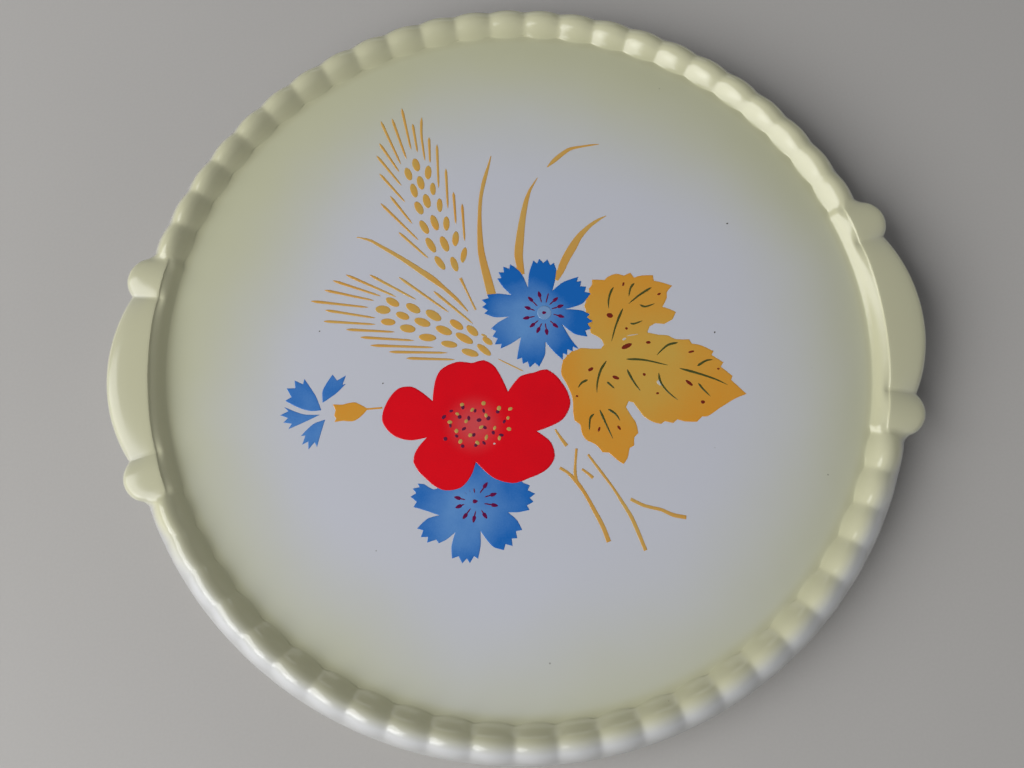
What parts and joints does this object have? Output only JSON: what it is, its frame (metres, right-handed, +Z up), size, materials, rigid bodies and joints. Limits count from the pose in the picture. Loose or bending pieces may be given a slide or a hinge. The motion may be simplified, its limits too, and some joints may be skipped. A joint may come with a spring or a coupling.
{
  "type": "ceramic cake plate",
  "caption": "Round low-footed ceramic cake plate with a lobed rim, two moulded handle tabs and a painted spray of poppy, cornflowers, vine leaf and wheat.",
  "frame": {"origin": "centre of the foot ring's resting plane, under the middle of the plate", "axes": "+X runs through the middles of the two handle tabs, +Z is up out of the well, +Y completes the right-handed frame"},
  "size_m": [0.3236, 0.31, 0.0214],
  "materials": {
    "cream_glaze": "glossy clear glaze over a white body, sprayed pale yellow towards the rim and fading to bluish white in the middle, bare foot ring",
    "red_enamel": "glossy poppy red, slightly deeper along its edges",
    "blue_enamel": "glossy cornflower blue, sprayed deeper towards the petal tips and paler at the heart",
    "ochre_enamel": "glossy ochre, mottled between brown and greenish yellow"
  },
  "bodies": {
    "root": {"plate_body": "cream_glaze", "poppy": "red_enamel", "cornflower_upper": "blue_enamel", "cornflower_lower": "blue_enamel", "bud_petal_1": "blue_enamel", "bud_petal_2": "blue_enamel", "bud_petal_3": "blue_enamel", "bud_petal_4": "blue_enamel", "bud_calyx": "ochre_enamel", "vine_leaf": "ochre_enamel", "grass_blade_left": "ochre_enamel", "grass_blade_tall": "ochre_enamel", "grass_blade_middle": "ochre_enamel", "grass_blade_right": "ochre_enamel", "grass_blade_loose": "ochre_enamel", "wheat_stem": "ochre_enamel", "stem_by_poppy": "ochre_enamel", "stem_short": "ochre_enamel", "stem_long": "ochre_enamel", "stem_right": "ochre_enamel", "stem_fork": "ochre_enamel", "upper_ear_grain_01": "ochre_enamel", "upper_ear_grain_02": "ochre_enamel", "upper_ear_grain_03": "ochre_enamel", "upper_ear_grain_04": "ochre_enamel", "upper_ear_grain_05": "ochre_enamel", "upper_ear_grain_06": "ochre_enamel", "upper_ear_grain_07": "ochre_enamel", "upper_ear_grain_08": "ochre_enamel", "upper_ear_grain_09": "ochre_enamel", "upper_ear_grain_10": "ochre_enamel", "upper_ear_grain_11": "ochre_enamel", "upper_ear_grain_12": "ochre_enamel", "upper_ear_grain_13": "ochre_enamel", "upper_ear_grain_14": "ochre_enamel", "upper_ear_grain_15": "ochre_enamel", "upper_ear_grain_16": "ochre_enamel", "upper_ear_grain_17": "ochre_enamel", "upper_ear_grain_18": "ochre_enamel", "left_ear_grain_01": "ochre_enamel", "left_ear_grain_02": "ochre_enamel", "left_ear_grain_03": "ochre_enamel", "left_ear_grain_04": "ochre_enamel", "left_ear_grain_05": "ochre_enamel", "left_ear_grain_06": "ochre_enamel", "left_ear_grain_07": "ochre_enamel", "left_ear_grain_08": "ochre_enamel", "left_ear_grain_09": "ochre_enamel", "left_ear_grain_10": "ochre_enamel", "left_ear_grain_11": "ochre_enamel", "left_ear_grain_12": "ochre_enamel", "left_ear_grain_13": "ochre_enamel", "left_ear_grain_14": "ochre_enamel", "left_ear_grain_15": "ochre_enamel", "left_ear_grain_16": "ochre_enamel", "left_ear_grain_17": "ochre_enamel"}
  },
  "joints": []
}
